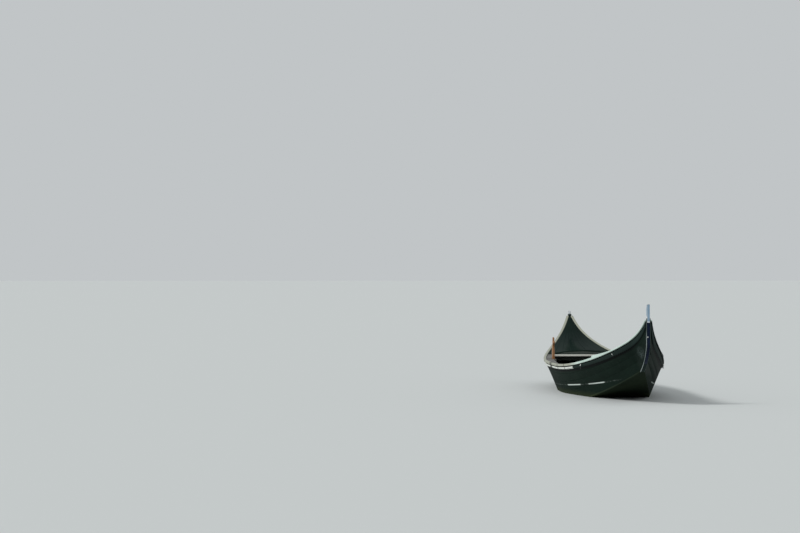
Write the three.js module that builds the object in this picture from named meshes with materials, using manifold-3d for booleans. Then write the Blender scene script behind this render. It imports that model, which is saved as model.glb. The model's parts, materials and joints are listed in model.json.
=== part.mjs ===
// Ferry gondola: a flat bottomed rowing boat with high curved ends, built of planks on frames.
// Millimetres, +X to the bow, +Y to port, +Z up. The origin is amidships, on the waterline.

import * as THREE from 'three';
import { mergeVertices } from 'three/addons/utils/BufferGeometryUtils.js';
import Module from 'manifold-3d';

const wasm = await Module();
wasm.setup();

// Driving dimensions of the hull
const length = 10900;
const beam = 1830;
const bottomBeam = 1470;
const sheerMidHeight = 485;
const draft = 150;
const footHeight = 530;
const footSetback = 700;
const stemTurnHeight = 965;
const stemHalfWidth = 36;
const rockerPower = 1.7;
const gap = 0.3;

// The bow is finer and higher than the stern. Powers shape the plan, the chine and the sheer.
// The middle stands higher by midLift, and each tip turns up more steeply by tipRise.
const midLift = 25;
const tipRise = 205;
const tipPower = 20;
const bowShape = { plan: 1.69, chine: 1.33, rise: 745, sheer: 2.06 };
const sternShape = { plan: 2.9, chine: 2.3, rise: 640, sheer: 3.97 };

// Long timbers come in three lengths, which meet at these places.
const bowJointX = 2940;
const sternJointX = -3360;
const plankJointX = 1680;
const frameJointX = 1890;
const bottomJointX = 1050;

const halfLength = length / 2;
const footX = halfLength - footSetback;

// Timber sizes
const bottomThickness = 25;
const plankThickness = 20;
const postHalfWidth = stemHalfWidth - plankThickness - 1;
const postDepth = 110;
const postDrop = 10;
const frameThickness = 24;
const frameDepth = 45;
const frameSpacing = 420;
const framesEachWay = 9;
const floorTimberHeight = 80;
const tipCapThickness = 22;
const middleCapThickness = 40;
const bowCapThickness = 72;
const bowCapTaper = 1000;
const capOverhang = 18;
const capInset = 30;
const inwaleWidth = 25;
const inwaleDepth = 60;
const strakeDrop = 16;
const strakeHeight = 38;
const strakeFlare = 50;
const strakeThickness = 14;
const strapThickness = 6;
const floorboardThickness = 15;

// Decks and thwarts
const bowDeckLength = halfLength - bowJointX;
const sternDeckLength = halfLength + sternJointX;
const deckSetback = 60;
const deckThickness = 18;
const deckCamber = 0.13;
const endBoardThickness = 18;
const endBoardDepth = 95;
const thwartWidth = 210;
const thwartThickness = 30;
const bowThwartX = 1680;
const sternThwartX = -3245;

// Hull surfaces as formulas of x
const clamp01 = (value) => Math.min(1, Math.max(0, value));
const endShape = (x) => (x > 0 ? bowShape : sternShape);
const sheerHalf = (x) =>
  stemHalfWidth + (beam / 2 - stemHalfWidth) * (1 - Math.abs(x / halfLength) ** endShape(x).plan);
const sheerHeight = (x) => {
  const share = Math.abs(x / halfLength);
  const { rise, sheer } = endShape(x);
  const lift = midLift * (1 - share ** 2) ** 2;
  return sheerMidHeight - midLift + lift + rise * share ** sheer + tipRise * share ** tipPower;
};
const bottomHalf = (x) => {
  const share = clamp01(Math.abs(x) / footX);
  return stemHalfWidth + (bottomBeam / 2 - stemHalfWidth) * (1 - share ** endShape(x).chine);
};
const bottomHeight = (x) => -draft + (footHeight + draft) * clamp01(Math.abs(x) / footX) ** rockerPower;

// The stem's outer edge is a quadratic curve from the foot up to where it turns upright.
// It returns a point moved inwards by inset, for the bow (end = 1) or the stern (end = -1).
const stemKnee = { along: 0.733, up: 0.377 };
const stemPoint = (step, inset, end) => {
  const bend = 2 * step * (1 - step);
  const rise = stemTurnHeight - footHeight;
  const x = footX + footSetback * (stemKnee.along * bend + step ** 2);
  const z = footHeight + rise * (stemKnee.up * bend + step ** 2);
  const slopeX = footSetback * (stemKnee.along * 2 * (1 - 2 * step) + 2 * step);
  const slopeZ = rise * (stemKnee.up * 2 * (1 - 2 * step) + 2 * step);
  const size = Math.hypot(slopeX, slopeZ);
  return { x: end * (x - (inset * slopeZ) / size), z: z + (inset * slopeX) / size };
};
const stemSteps = [0.2, 0.4, 0.6, 0.8, 1];

// Stations along the hull: even ones, both faces of every frame, and the stem's steps
const frameXs = [];
for (let i = -framesEachWay; i <= framesEachWay; i += 1) frameXs.push(i * frameSpacing);
const middleStations = () => {
  const xs = [];
  for (const x of frameXs) xs.push(x - frameThickness / 2, x + frameThickness / 2);
  for (let i = 0; i < framesEachWay * 2; i += 1) xs.push((i - framesEachWay + 0.5) * frameSpacing);
  xs.push(bowJointX, sternJointX, plankJointX, -plankJointX);
  const reach = frameXs[frameXs.length - 1];
  for (const share of [0.25, 0.5, 0.75, 1]) {
    xs.push(reach + share * (footX - reach), -reach - share * (footX - reach));
  }
  return xs.sort((a, b) => a - b);
};
const stations = middleStations();
const lengthOf = (xs, from, to) => [from, ...xs.filter((x) => x > from + 1 && x < to - 1), to];

// A station of the side planking joins a point on the lower edge to one on the sheer.
const plankStations = () => {
  const inset = bottomThickness + gap;
  const list = stations.map((x) => ({ x, lowX: x, lowZ: bottomHeight(x) + inset }));
  const lastTop = halfLength - inset;
  for (const end of [1, -1]) {
    for (const step of stemSteps) {
      const low = stemPoint(step, inset, end);
      const x = end * (footX + (lastTop - footX) * step);
      const item = { x, lowX: low.x, lowZ: low.z };
      if (end > 0) list.push(item);
      else list.unshift(item);
    }
  }
  return list;
};

// Solids from sections: every section is a ring of [x, y, z] points, in the same order.
const geometryOf = (points, triangles) => {
  const geometry = new THREE.BufferGeometry();
  geometry.setAttribute('position', new THREE.Float32BufferAttribute(points.flat(), 3));
  geometry.setIndex(triangles.flat());
  return geometry;
};
const signedVolume = (points, triangles) => {
  let total = 0;
  for (const [a, b, c] of triangles) {
    const [p, q, r] = [points[a], points[b], points[c]];
    total += p[0] * (q[1] * r[2] - q[2] * r[1]);
    total += p[1] * (q[2] * r[0] - q[0] * r[2]);
    total += p[2] * (q[0] * r[1] - q[1] * r[0]);
  }
  return total;
};
const ringNormal = (ring) => {
  const normal = new THREE.Vector3();
  const first = new THREE.Vector3(...ring[0]);
  for (let i = 1; i < ring.length - 1; i += 1) {
    const side = new THREE.Vector3(...ring[i]).sub(first);
    const next = new THREE.Vector3(...ring[i + 1]).sub(first);
    normal.add(side.cross(next));
  }
  return normal.normalize();
};
const ringFaces = (ring, start) => {
  const normal = ringNormal(ring);
  const axisU = new THREE.Vector3(...ring[1]).sub(new THREE.Vector3(...ring[0])).normalize();
  const axisV = normal.clone().cross(axisU);
  const flat = ring.map((point) => {
    const at = new THREE.Vector3(...point);
    return new THREE.Vector2(at.dot(axisU), at.dot(axisV));
  });
  const faces = THREE.ShapeUtils.triangulateShape(flat, []);
  return faces.map(([a, b, c]) => [start + a, start + b, start + c]);
};
const loft = (sections) => {
  const count = sections[0].length;
  const points = sections.flat();
  const triangles = [];
  for (let i = 0; i < sections.length - 1; i += 1) {
    for (let j = 0; j < count; j += 1) {
      const a = i * count + j;
      const b = i * count + ((j + 1) % count);
      triangles.push([a, b, b + count], [a, b + count, a + count]);
    }
  }
  const lastStart = (sections.length - 1) * count;
  triangles.push(...ringFaces(sections[0], 0).map(([a, b, c]) => [a, c, b]));
  triangles.push(...ringFaces(sections[sections.length - 1], lastStart));
  if (signedVolume(points, triangles) < 0) {
    return geometryOf(points, triangles.map(([a, b, c]) => [a, c, b]));
  }
  return geometryOf(points, triangles);
};

// Cutting and joining
const toSolid = (geometry) => {
  const bare = geometry.clone();
  bare.deleteAttribute('normal');
  bare.deleteAttribute('uv');
  const merged = mergeVertices(bare, 1e-4);
  const vertProperties = new Float32Array(merged.attributes.position.array);
  const triVerts = new Uint32Array(merged.index.array);
  return new wasm.Manifold(new wasm.Mesh({ numProp: 3, vertProperties, triVerts }));
};
const fromSolid = (solid) => {
  const mesh = solid.getMesh();
  const geometry = new THREE.BufferGeometry();
  geometry.setAttribute('position', new THREE.BufferAttribute(mesh.vertProperties, 3));
  geometry.setIndex(new THREE.BufferAttribute(mesh.triVerts, 1));
  return geometry;
};
const joined = (geometries) => {
  let solid = toSolid(geometries[0]);
  for (const geometry of geometries.slice(1)) solid = solid.add(toSolid(geometry));
  return fromSolid(solid);
};
const cut = (geometry, tool) => fromSolid(toSolid(geometry).subtract(toSolid(tool)));

const box = (x0, x1, y0, y1, z0, z1) => {
  const ring = (x) => [[x, y0, z0], [x, y1, z0], [x, y1, z1], [x, y0, z1]];
  return loft([ring(x0), ring(x1)]);
};

// Plate with its outline in the XZ plane, of a given thickness across Y
const plate = (outline, thickness, middleY = 0) => {
  const ring = (y) => outline.map(([x, z]) => [x, middleY + y, z]);
  return loft([ring(-thickness / 2), ring(thickness / 2)]);
};

// Materials
const paint = (colour, roughness, metalness = 0) =>
  new THREE.MeshStandardMaterial({ color: colour, roughness, metalness });
const hullPaint = () => paint(0x17251f, 0.3);
const bottomPaint = () => paint(0x141c14, 0.6);
const innerPaint = () => paint(0x2b352f, 0.7);
const palePaint = () => paint(0xb4bfb0, 0.5);
const bareWood = () => paint(0x8a5a30, 0.5);
const bandPaint = () => paint(0x16202f, 0.35, 0.3);
const steel = () => paint(0xa9bccb, 0.35, 0.9);

const boat = new THREE.Group();
const addPiece = (name, geometry, material) => {
  const mesh = new THREE.Mesh(geometry, material);
  mesh.name = name;
  boat.add(mesh);
};

// Bottom planking, a flat slab that follows the rocker
const bottomPlanking = (from, to) => {
  const section = (x) => {
    const y = bottomHalf(x);
    const z = bottomHeight(x);
    const top = z + bottomThickness;
    return [[x, -y, z], [x, y, z], [x, y, top], [x, -y, top]];
  };
  return loft(lengthOf(stations, from, to).map(section));
};

// The stations of a side between two joints, and a point on its outer face below the sheer
const sideStations = (from, to) => {
  const between = plankStations().filter(({ x }) => x > from + 1 && x < to - 1);
  const joint = (x) => ({ x, lowX: x, lowZ: bottomHeight(x) + bottomThickness + gap });
  if (from > -footX) between.unshift(joint(from));
  if (to < footX) between.push(joint(to));
  return between;
};
const sidePoint = ({ x, lowX, lowZ }, side, drop, out) => {
  const low = Math.abs(lowX) > footX ? stemHalfWidth : bottomHalf(lowX);
  const high = sheerHalf(x);
  const z = sheerHeight(x);
  const share = drop / (z - lowZ);
  return [x + (lowX - x) * share, side * (high + (low - high) * share + out), z - drop];
};

// One side's planking, standing on the bottom, with a line of points at each edge of the strake
const strakeLow = (x) => strakeDrop + strakeHeight + strakeFlare * (x / halfLength) ** 2;
const sidePlanking = (side, from, to) => {
  const section = (station) => {
    const depth = sheerHeight(station.x) - station.lowZ;
    const face = (drops, out) => drops.map((drop) => sidePoint(station, side, drop, out));
    return [
      ...face([depth, strakeLow(station.x), strakeDrop, 0], 0),
      ...face([0, depth], -plankThickness - gap),
    ];
  };
  return loft(sideStations(from, to).map(section));
};

// Strip along the sheer: its section is given by distances in from the sheer and up from it.
const sheerStations = (reach) => {
  const xs = stations.filter((x) => Math.abs(x) < reach);
  for (const step of [0, ...stemSteps]) {
    const x = footX + (halfLength - bottomThickness - gap - footX) * step;
    if (x < reach && x > footX) xs.push(x, -x);
  }
  xs.push(reach, -reach);
  return xs.sort((a, b) => a - b);
};
const capReach = halfLength - bottomThickness - gap;
const capThickness = (x) => {
  const taper = (share, thick) => tipCapThickness + (thick - tipCapThickness) * clamp01(share);
  if (x > bowJointX) return taper(1 - (x - bowJointX) / bowCapTaper, bowCapThickness);
  if (x < sternJointX) return taper((x + halfLength) / (halfLength + sternJointX), middleCapThickness);
  return middleCapThickness;
};
const gunwaleCap = (side, from, to) => {
  const section = (x) => {
    const z = sheerHeight(x);
    const outer = side * (sheerHalf(x) + capOverhang);
    const inner = side * Math.max(gap, sheerHalf(x) - capInset);
    const top = z + capThickness(x);
    return [[x, outer, z + gap], [x, outer, top], [x, inner, top], [x, inner, z + gap]];
  };
  return loft(lengthOf(sheerStations(capReach), from, to).map(section));
};
const sideAt = (x, up) => {
  const z = sheerHeight(x) + up;
  const low = bottomHeight(x) + bottomThickness + gap;
  const share = (z - low) / (sheerHeight(x) - low);
  return bottomHalf(x) + (sheerHalf(x) - bottomHalf(x)) * share;
};
const insideHalf = (x, up) => sideAt(x, up) - plankThickness - frameDepth - inwaleWidth - 4 * gap;

// Rub strake, from stem to stern along the planks, with bevelled edges
const rubStrake = (side, from, to) => {
  const bevel = strakeHeight / 4;
  const section = (station) => {
    const drop = strakeLow(station.x);
    return [
      sidePoint(station, side, drop, gap),
      sidePoint(station, side, strakeDrop, gap),
      sidePoint(station, side, strakeDrop + bevel, gap + strakeThickness),
      sidePoint(station, side, drop - bevel, gap + strakeThickness),
    ];
  };
  return loft(sideStations(from, to).map(section));
};

// Frames of one side, fused to the inwale and the bilge stringer that join them
const sideFrames = (side, from, to) => {
  const skin = plankThickness + 2 * gap;
  const frame = (middle) => {
    const section = (x) => {
      const lowZ = bottomHeight(x) + bottomThickness + gap;
      const highZ = sheerHeight(x) - gap;
      const low = bottomHalf(x) - skin;
      const high = sideAt(x, -gap) - skin;
      return [
        [x, side * high, highZ],
        [x, side * low, lowZ],
        [x, side * (low - frameDepth), lowZ],
        [x, side * (high - frameDepth), highZ],
      ];
    };
    const faces = lengthOf(stations, middle - frameThickness / 2, middle + frameThickness / 2);
    return loft(faces.map(section));
  };
  const bite = 6;
  const inwaleSection = (x) => {
    const z = sheerHeight(x);
    const high = sheerHalf(x) - skin - frameDepth;
    const low = sideAt(x, -inwaleDepth) - skin - frameDepth;
    return [
      [x, side * (low + bite), z - inwaleDepth], [x, side * (high + bite), z],
      [x, side * (high - inwaleWidth), z], [x, side * (low - inwaleWidth), z - inwaleDepth],
    ];
  };
  const stringerSection = (x) => {
    const z = bottomHeight(x) + bottomThickness + 0.42 * (sheerHeight(x) - bottomHeight(x));
    const y = sideAt(x, z - sheerHeight(x)) - skin - frameDepth;
    return [
      [x, side * (y + bite), z - 25], [x, side * (y + bite), z + 25],
      [x, side * (y - 18), z + 25], [x, side * (y - 18), z - 25],
    ];
  };
  const between = lengthOf(stations, from, to);
  const strips = [inwaleSection, stringerSection].map((section) => loft(between.map(section)));
  return joined([...strips, ...frameXs.filter((x) => x > from && x < to).map(frame)]);
};

// Floor timbers across the bottom, fused to the keelson
const floorLevel = (x) => bottomHeight(x) + bottomThickness + gap;
const floorHalf = (x) => bottomHalf(x) - plankThickness - frameDepth - 5 * gap;
const floorTimbers = (from, to) => {
  const slab = (x, half, height) => {
    const z = floorLevel(x);
    return [[x, -half, z], [x, half, z], [x, half, z + height], [x, -half, z + height]];
  };
  const timber = (middle) => loft([-1, 1].map((way) => {
    const x = middle + (way * frameThickness) / 2;
    return slab(x, floorHalf(x), floorTimberHeight);
  }));
  const keelson = loft(lengthOf(stations, from, to).map((x) => slab(x, 40, 20)));
  return joined([keelson, ...frameXs.filter((x) => x > from && x < to).map(timber)]);
};

// Floorboards, in three panels that follow the timbers
const floorboards = (from, to) => {
  const section = (x) => {
    const y = floorHalf(x) - 25;
    const z = floorLevel(x) + floorTimberHeight + gap;
    const top = z + floorboardThickness;
    return [[x, -y, z], [x, y, z], [x, y, top], [x, -y, top]];
  };
  const xs = [from, ...stations.filter((x) => x > from + 20 && x < to - 20), to];
  return loft(xs.map(section));
};

// Stem and stern posts between the planks, and the bands over their outer edges
const stemStrip = (end, insetOut, insetIn, half, topOut, topIn) => {
  const section = (out, inside) => [
    [out.x, -half, out.z], [out.x, half, out.z], [inside.x, half, inside.z], [inside.x, -half, inside.z],
  ];
  const start = footX + gap;
  const rings = [section(
    { x: end * start, z: footHeight + insetOut },
    { x: end * start, z: footHeight + insetIn },
  )];
  for (const step of stemSteps) {
    rings.push(section(stemPoint(step, insetOut, end), stemPoint(step, insetIn, end)));
  }
  rings.push(section(
    { x: end * (halfLength - insetOut), z: topOut },
    { x: end * (halfLength - insetIn), z: topIn },
  ));
  return loft(rings);
};
const bandTop = (end) => sheerHeight(end * halfLength) + tipCapThickness;
const stemBand = (end) => stemStrip(end, 0, bottomThickness, stemHalfWidth, bandTop(end), bandTop(end));
const stemPost = (end) => {
  const out = bottomThickness + gap;
  const inside = out + postDepth;
  const topAt = (inset) => sheerHeight(end * (halfLength - inset)) - postDrop;
  return stemStrip(end, out, inside, postHalfWidth, topAt(out), topAt(inside));
};

// Decks: cambered panels between the gunwale caps, carried by the inwales and cross beams
const deckSteps = [-1, -0.5, 0, 0.5, 1];
const deckRise = (half, share) => {
  const size = Math.abs(share);
  const height = size < 0.5 ? 1 - size / 2 : 1.5 * (1 - size);
  return deckCamber * half * height;
};
const deckHalf = (x) => sheerHalf(x) - capInset - gap;
const deckPanel = (end, deckLength) => {
  const inner = halfLength - deckLength;
  const outer = halfLength - deckSetback;
  const between = sheerStations(outer).filter((x) => x * end > inner + 20 && x * end < outer - 1);
  const xs = [end * inner, ...between, end * outer].sort((a, b) => a - b);
  const section = (x) => {
    const half = deckHalf(x);
    const under = deckSteps.map((s) => [x, s * half, sheerHeight(x) + gap + deckRise(half, s)]);
    const over = under.map(([px, py, pz]) => [px, py, pz + deckThickness]).reverse();
    return [...under, ...over];
  };
  return loft(xs.map(section));
};
const crossBoard = (from, to, depth) => {
  const section = (x) => {
    const full = deckHalf(x);
    const high = insideHalf(x, 0);
    const low = insideHalf(x, -depth);
    const z = sheerHeight(x);
    const edge = high / full;
    const over = [-edge, -0.5, 0, 0.5, edge].map((s) => [x, s * full, z + deckRise(full, s) - gap]);
    return [[x, -low, z - depth], ...over, [x, low, z - depth]];
  };
  return loft([section(from), section(to)]);
};

// Thwarts: the bow one rests on the inwales, the stern one is let in between the side decks.
const thwart = (middle, half, rise) => {
  const from = middle - thwartWidth / 2;
  const to = middle + thwartWidth / 2;
  const z = Math.max(sheerHeight(from), sheerHeight(to)) + rise;
  const section = (x) => {
    const y = half(x);
    const top = z + thwartThickness;
    return [[x, -y, z], [x, y, z], [x, y, top], [x, -y, top]];
  };
  return loft([section(from), section(to)]);
};

// Side decks, on each side ahead of the stern deck: they lie on the inwales, against the caps. Their
// straight inner edges run out to the caps amidships.
const sideDeck = { from: -3358, to: 210, inner: 594, slope: 0.0757, rise: 24, clear: 2 };
const restPad = { inner: 612, reach: 130, sunk: 6 };
const sideDeckInner = (x) => sideDeck.inner + sideDeck.slope * (x - sternThwartX);
const sideDeckPanel = (side) => {
  const section = (x) => {
    const low = sheerHeight(x) + gap;
    const high = sheerHeight(x) + sideDeck.rise;
    const outer = side * deckHalf(x);
    const inner = side * sideDeckInner(x);
    return [[x, outer, low], [x, inner, low], [x, inner, high], [x, outer, high]];
  };
  return loft(lengthOf(stations, sideDeck.from, sideDeck.to).map(section));
};
const sideDeckBlock = (side, middleX, depth) => {
  const section = (x) => {
    const z = sheerHeight(x);
    const top = z + sideDeck.rise - restPad.sunk;
    const outer = side * (insideHalf(x, 0) - sideDeck.clear);
    return [
      [x, outer, top], [x, outer, z],
      [x, side * (insideHalf(x, -depth) - sideDeck.clear), z - depth],
      [x, side * restPad.inner, z - depth],
      [x, side * restPad.inner, top],
    ];
  };
  return loft(lengthOf(stations, middleX - restPad.reach, middleX + restPad.reach).map(section));
};

// Oar rest: a carved upright with a notched head and eased edges. It stands in a socket, which is
// cut in a block beside the inwale or in a side deck.
const insetBy = (outline, inset) => outline.map((point, i) => {
  const before = outline[(i + outline.length - 1) % outline.length];
  const after = outline[(i + 1) % outline.length];
  const along = new THREE.Vector2(after[0] - before[0], after[1] - before[1]).normalize();
  return [point[0] - inset * along.y, point[1] + inset * along.x];
});
const restFoot = { drop: 60, half: 46, depth: 52 };
const restEase = 8;
const restBlock = { length: frameSpacing - frameThickness, width: 78, depth: 95, rise: 20 };
const oarRest = (x, y) => {
  // Distances forward of the middle and up from the foot
  const outline = [
    [-38, 0], [38, 0], [40, 60], [45, 110], [44, 170], [34, 230], [26, 280], [29, 322], [46, 352],
    [76, 368], [108, 374], [126, 385], [127, 402], [110, 412], [84, 410], [60, 405], [42, 413],
    [34, 431], [39, 452], [37, 474], [22, 489], [0, 492], [-18, 481], [-25, 452], [-21, 415],
    [-19, 375], [-28, 330], [-42, 280], [-50, 220], [-50, 150], [-44, 80],
  ];
  const base = sheerHeight(x) - restFoot.drop;
  const half = restFoot.depth / 2;
  const ring = (out, inset) => insetBy(outline, inset).map(([u, v]) => [x + u, y + out, base + v]);
  return loft([
    ring(-half, restEase), ring(restEase - half, 0), ring(half - restEase, 0), ring(half, restEase),
  ]);
};
const socket = (x, y) => {
  const room = restFoot.depth / 2 + gap;
  const reach = restFoot.half + gap;
  const floor = sheerHeight(x) - restFoot.drop - gap;
  return box(x - reach, x + reach, y - room, y + room, floor, sheerHeight(x) + restBlock.depth);
};
const restBlockY = (x) => insideHalf(x, -restBlock.depth) - restBlock.width / 2;
const oarRestBlock = (middleX, side) => {
  const half = restBlock.length / 2;
  const top = sheerHeight(middleX) + restBlock.rise;
  const low = top - restBlock.depth;
  const inner = restBlockY(middleX) - restBlock.width / 2;
  const section = (x) => [
    [x, side * insideHalf(x, Math.min(0, top - sheerHeight(x))), top],
    [x, side * insideHalf(x, low - sheerHeight(x)), low],
    [x, side * inner, low],
    [x, side * inner, top],
  ];
  const block = loft([section(middleX - half), section(middleX), section(middleX + half)]);
  return cut(block, socket(middleX, side * restBlockY(middleX)));
};

// End irons: a strap up the front of the stem head, with a plate behind it that stands on the caps
const ironStrap = { half: 22, thickness: 8 };
const ironPlate = (end, iron) => {
  const tip = bandTop(end);
  const out = ironStrap.thickness;
  const seat = tip + gap;
  const outline = [
    [gap, tip - iron.lip], [out, tip - iron.lip], [out, tip + iron.height],
    [-iron.topDepth, tip + iron.height - 4], [-iron.depth, tip + iron.height * 0.65],
    [-iron.depth, tip + iron.height * 0.2], [-iron.foot, seat], [gap, seat],
  ];
  const strap = [
    [gap, tip - iron.lip], [out, tip - iron.lip], [out, tip + iron.height], [gap, tip + iron.height],
  ];
  const across = ([u, z]) => [end * (halfLength + u), z];
  return joined([plate(outline.map(across), iron.thickness), plate(strap.map(across), 2 * ironStrap.half)]);
};
const bowIron = { height: 226, topDepth: 140, depth: 200, foot: 60, thickness: 16, lip: 72 };
const sternIron = { height: 60, topDepth: 50, depth: 80, foot: 40, thickness: 16, lip: 60 };

// Straps that run down the stem from the irons, over the bands
const stemStrap = (end, iron) => {
  const { half } = ironStrap;
  const section = (out, inside) => [
    [out.x, -half, out.z], [inside.x, -half, inside.z], [inside.x, half, inside.z], [out.x, half, out.z],
  ];
  const at = (step, inset) => stemPoint(step, inset, end);
  const top = bandTop(end) - iron.lip - gap;
  const upright = (inset) => ({ x: end * (halfLength - inset), z: top });
  const rings = [0.4, 0.6, 0.8, 1].map((step) => section(at(step, -strapThickness), at(step, -gap)));
  rings.push(section(upright(-strapThickness), upright(-gap)));
  return loft(rings);
};

// Assembly
const sides = [
  { name: 'starboard', side: -1 },
  { name: 'port', side: 1 },
];
const runs = (backJoint, foreJoint, reach) => [
  { part: 'aft', from: -reach, to: backJoint - gap / 2 },
  { part: 'middle', from: backJoint + gap / 2, to: foreJoint - gap / 2 },
  { part: 'fore', from: foreJoint + gap / 2, to: reach },
];
const frameReach = frameXs[frameXs.length - 1] + frameThickness / 2;
for (const { part, from, to } of runs(-bottomJointX, bottomJointX, footX)) {
  addPiece(`bottom_planking_${part}`, bottomPlanking(from, to), bottomPaint());
}
for (const { part, from, to } of runs(-frameJointX, frameJointX, frameReach)) {
  addPiece(`floor_timbers_${part}`, floorTimbers(from, to), innerPaint());
}
for (const { name, side } of sides) {
  for (const { part, from, to } of runs(-plankJointX, plankJointX, halfLength)) {
    addPiece(`side_planking_${name}_${part}`, sidePlanking(side, from, to), hullPaint());
    const strakePaint = part === 'fore' ? hullPaint() : palePaint();
    addPiece(`rub_strake_${name}_${part}`, rubStrake(side, from, to), strakePaint);
  }
  for (const { part, from, to } of runs(-frameJointX, frameJointX, frameReach)) {
    addPiece(`side_frames_${name}_${part}`, sideFrames(side, from, to), innerPaint());
  }
  for (const { part, from, to } of runs(sternJointX, bowJointX, capReach)) {
    addPiece(`gunwale_cap_${name}_${part}`, gunwaleCap(side, from, to), palePaint());
  }
}
for (const { part, from, to } of [
  { part: 'fore', from: 950, to: 2900 },
  { part: 'middle', from: -940, to: 940 },
  { part: 'aft', from: -2900, to: -950 },
]) {
  addPiece(`floorboards_${part}`, floorboards(from, to), innerPaint());
}
for (const { name, post, end, deckLength, iron } of [
  { name: 'bow', post: 'stem', end: 1, deckLength: bowDeckLength, iron: bowIron },
  { name: 'stern', post: 'stern', end: -1, deckLength: sternDeckLength, iron: sternIron },
]) {
  addPiece(`${post}_post`, stemPost(end), innerPaint());
  addPiece(`${post}_band`, stemBand(end), hullPaint());
  addPiece(`${post}_strap`, stemStrap(end, iron), bandPaint());
  addPiece(`${name}_iron`, ironPlate(end, iron), steel());
  addPiece(`${name}_deck`, deckPanel(end, deckLength), hullPaint());
  const inner = halfLength - deckLength + 4;
  const board = crossBoard(end * inner, end * (inner + endBoardThickness), endBoardDepth);
  addPiece(`${name}_deck_end_board`, board, innerPaint());
}
addPiece('bow_thwart', thwart(bowThwartX, (x) => deckHalf(x) - 1, gap), palePaint());
addPiece('stern_thwart', thwart(sternThwartX, (x) => sideDeckInner(x) - gap, -8), palePaint());

const sternRest = { x: -2520, y: -655 };
const bowBlockX = frameSpacing * 5.5;
addPiece('side_deck_port', sideDeckPanel(1), palePaint());
const restDeck = joined([sideDeckPanel(-1), sideDeckBlock(-1, sternRest.x, restBlock.depth - 15)]);
addPiece('side_deck_starboard', cut(restDeck, socket(sternRest.x, sternRest.y)), palePaint());
addPiece('stern_oar_rest', oarRest(sternRest.x, sternRest.y), bareWood());
addPiece('bow_oar_rest_block', oarRestBlock(bowBlockX, 1), bareWood());

export default boat;
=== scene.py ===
import json
import math

import bmesh
import bpy
from mathutils import Matrix, Vector

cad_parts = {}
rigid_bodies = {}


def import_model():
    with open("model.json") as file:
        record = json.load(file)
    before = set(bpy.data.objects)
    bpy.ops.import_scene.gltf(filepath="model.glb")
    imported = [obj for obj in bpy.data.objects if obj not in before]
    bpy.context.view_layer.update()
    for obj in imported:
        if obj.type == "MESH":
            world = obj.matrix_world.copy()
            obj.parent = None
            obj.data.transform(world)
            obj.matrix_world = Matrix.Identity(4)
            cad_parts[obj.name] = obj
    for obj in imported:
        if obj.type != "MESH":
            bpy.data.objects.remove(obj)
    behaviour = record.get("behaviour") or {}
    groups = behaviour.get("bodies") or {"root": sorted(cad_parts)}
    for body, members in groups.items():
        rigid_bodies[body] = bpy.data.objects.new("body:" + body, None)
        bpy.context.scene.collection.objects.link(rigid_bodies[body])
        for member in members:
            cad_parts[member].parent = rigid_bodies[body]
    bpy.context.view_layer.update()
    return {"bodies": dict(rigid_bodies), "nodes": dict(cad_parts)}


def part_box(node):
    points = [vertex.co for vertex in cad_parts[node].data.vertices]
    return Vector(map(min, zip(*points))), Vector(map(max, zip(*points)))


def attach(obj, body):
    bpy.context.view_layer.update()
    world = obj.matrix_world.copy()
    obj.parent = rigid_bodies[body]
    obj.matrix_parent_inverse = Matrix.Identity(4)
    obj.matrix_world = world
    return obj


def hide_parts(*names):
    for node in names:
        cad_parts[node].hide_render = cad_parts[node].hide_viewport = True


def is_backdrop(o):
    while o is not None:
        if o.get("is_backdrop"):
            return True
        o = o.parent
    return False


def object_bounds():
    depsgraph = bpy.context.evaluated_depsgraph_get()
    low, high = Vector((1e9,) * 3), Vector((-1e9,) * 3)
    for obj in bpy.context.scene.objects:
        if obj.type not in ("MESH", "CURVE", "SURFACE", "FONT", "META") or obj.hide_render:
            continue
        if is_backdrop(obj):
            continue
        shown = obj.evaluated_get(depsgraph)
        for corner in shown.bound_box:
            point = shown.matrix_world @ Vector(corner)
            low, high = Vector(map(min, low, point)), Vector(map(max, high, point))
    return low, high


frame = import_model()
boatBody = next(iter(frame["bodies"]))
print("frame loaded:", len(frame["nodes"]), "nodes")

# Hull lines, in metres. +X is the bow, +Y port, and z = 0 the waterline.
hull = {
    "half": 5.45, "footX": 4.75, "sheerHalf": 0.915, "bottomHalf": 0.735, "stemHalf": 0.036,
    "middle": 0.46, "lift": 0.025, "tipRise": 0.205, "tipPower": 20, "draft": 0.15,
    "footHeight": 0.53, "stemTurn": 0.965, "kneeAlong": 0.733, "kneeUp": 0.377,
    "rocker": 1.7, "skin": 0.02, "bottom": 0.025,
    "bowJoint": 2.94, "sternJoint": -3.36, "plankJoint": 1.68, "overhang": 0.018, "inset": 0.03,
}
bowLines = {"plan": 1.69, "chine": 1.33, "rise": 0.745, "sheer": 2.06}
sternLines = {"plan": 2.9, "chine": 2.3, "rise": 0.64, "sheer": 3.97}
strake = {"low": 0.054, "lowerAtEnds": 0.05, "top": 0.016, "bevel": 0.0095, "face": 0.0143, "edge": 0.003}
clear = 0.0003  # air between pieces that touch
sideInset = hull["bottom"] + clear
sideTip = hull["half"] - sideInset


def clamp(value, low=0.0, high=1.0):
    return max(low, min(high, value))


def endLines(x):
    return bowLines if x > 0 else sternLines


def sheerHalf(x):
    share = abs(x / hull["half"]) ** endLines(x)["plan"]
    return hull["stemHalf"] + (hull["sheerHalf"] - hull["stemHalf"]) * (1 - share)


def sheerHeight(x):
    share = min(1.0, abs(x / hull["half"]))
    lines = endLines(x)
    rise = lines["rise"] * share ** lines["sheer"] + hull["tipRise"] * share ** hull["tipPower"]
    return hull["middle"] + hull["lift"] * (1 - share ** 2) ** 2 + rise


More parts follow.
